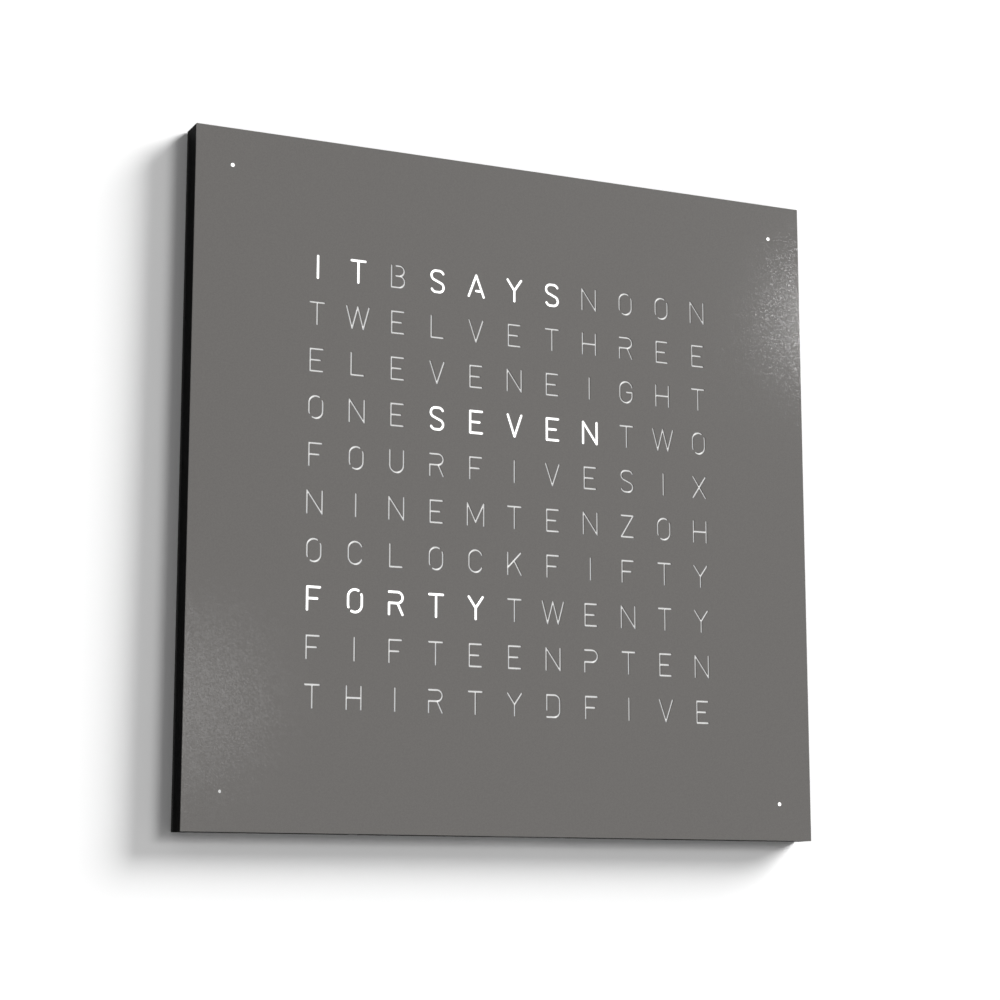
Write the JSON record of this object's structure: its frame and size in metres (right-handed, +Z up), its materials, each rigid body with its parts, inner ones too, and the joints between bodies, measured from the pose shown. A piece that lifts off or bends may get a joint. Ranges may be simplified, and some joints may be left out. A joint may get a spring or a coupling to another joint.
{
  "type": "word clock",
  "caption": "Square wall clock that lights words in a letter grid to tell the time, with a magnetic lift-off cover, keyhole hangers, and keys and a light sensor underneath.",
  "frame": {"origin": "centre of the body's back face, on the wall", "axes": "+Z up, +X to the right of someone who reads the clock, the front faces -Y and the wall is at +Y"},
  "size_m": [0.45, 0.02, 0.45],
  "materials": {
    "cover_coat": "fine matt powder coat",
    "stud_steel": "zinc-plated",
    "film_white": "opal diffusing film",
    "body_black": "fibreboard with a black satin lacquer",
    "bush_brass": "turned",
    "magnet_nickel": "nickel-plated",
    "grid_black": "moulded, matt",
    "screw_steel": "zinc-plated",
    "screw_black": "black oxide",
    "led_board_white": "white solder mask",
    "led_white": "white package with a clear window",
    "chip_black": "moulded",
    "reflector_white": "moulded",
    "lead_white": "PVC",
    "hanger_zinc": "zinc-plated sheet",
    "panel_black": "fine moulded grain",
    "board_green": "green solder mask",
    "spacer_nylon": "turned nylon",
    "holder_black": "moulded",
    "cell_steel": "pressed and polished",
    "jack_black": "moulded",
    "pin_brass": "plated",
    "capacitor_aluminium": "drawn can",
    "connector_white": "moulded nylon",
    "ribbon_grey": "PVC flat cable",
    "switch_black": "moulded",
    "plunger_white": "moulded",
    "sensor_black": "moulded",
    "pipe_clear": "clear acrylic, polished ends",
    "button_black": "moulded, satin"
  },
  "bodies": {
    "clock": {"back_panel": "panel_black", "back_panel_screws": "screw_black", "board_connector": "connector_white", "board_screws": "screw_steel", "board_spacers": "spacer_nylon", "clock_body": "body_black", "clock_chip": "chip_black", "coin_cell": "cell_steel", "coin_cell_holder": "holder_black", "control_board": "board_green", "dc_jack": "jack_black", "dc_jack_pin": "pin_brass", "dot_boards": "led_board_white", "dot_leads": "lead_white", "dot_leds": "led_white", "dot_reflectors": "reflector_white", "grid_screws": "screw_steel", "hanger_plate_left": "hanger_zinc", "hanger_plate_right": "hanger_zinc", "hanger_screws": "screw_steel", "holding_magnets": "magnet_nickel", "key_plate": "panel_black", "key_plate_screws": "screw_black", "led_board": "led_board_white", "led_connector": "connector_white", "led_drivers": "chip_black", "led_packages": "led_white", "led_ribbon": "ribbon_grey", "light_grid": "grid_black", "light_sensor": "sensor_black", "microcontroller": "chip_black", "power_parts": "capacitor_aluminium", "sensor_light_pipe": "pipe_clear", "stud_bushes": "bush_brass", "switch_bodies": "switch_black"},
    "cover": {"front_cover": "cover_coat", "locating_studs": "stud_steel", "diffuser_film": "film_white", "dot_diffusers": "film_white"},
    "key_hour": {"button_cap_hour": "button_black", "switch_plunger_hour": "plunger_white"},
    "key_minute": {"button_cap_minute": "button_black", "switch_plunger_minute": "plunger_white"},
    "key_mode": {"button_cap_mode": "button_black", "switch_plunger_mode": "plunger_white"}
  },
  "joints": [
    {"name": "cover_lift_off", "type": "slide", "parent": "clock", "child": "cover", "axis": [0, -1, 0], "range_m": [0, 0.1]},
    {"name": "press_hour", "type": "slide", "parent": "clock", "child": "key_hour", "axis": [0, 0, 1], "range_m": [0, 0.0008], "stiffness_N_per_m": 800, "springref_m": -0.001},
    {"name": "press_minute", "type": "slide", "parent": "clock", "child": "key_minute", "axis": [0, 0, 1], "range_m": [0, 0.0008], "stiffness_N_per_m": 800, "springref_m": -0.001},
    {"name": "press_mode", "type": "slide", "parent": "clock", "child": "key_mode", "axis": [0, 0, 1], "range_m": [0, 0.0008], "stiffness_N_per_m": 800, "springref_m": -0.001}
  ]
}
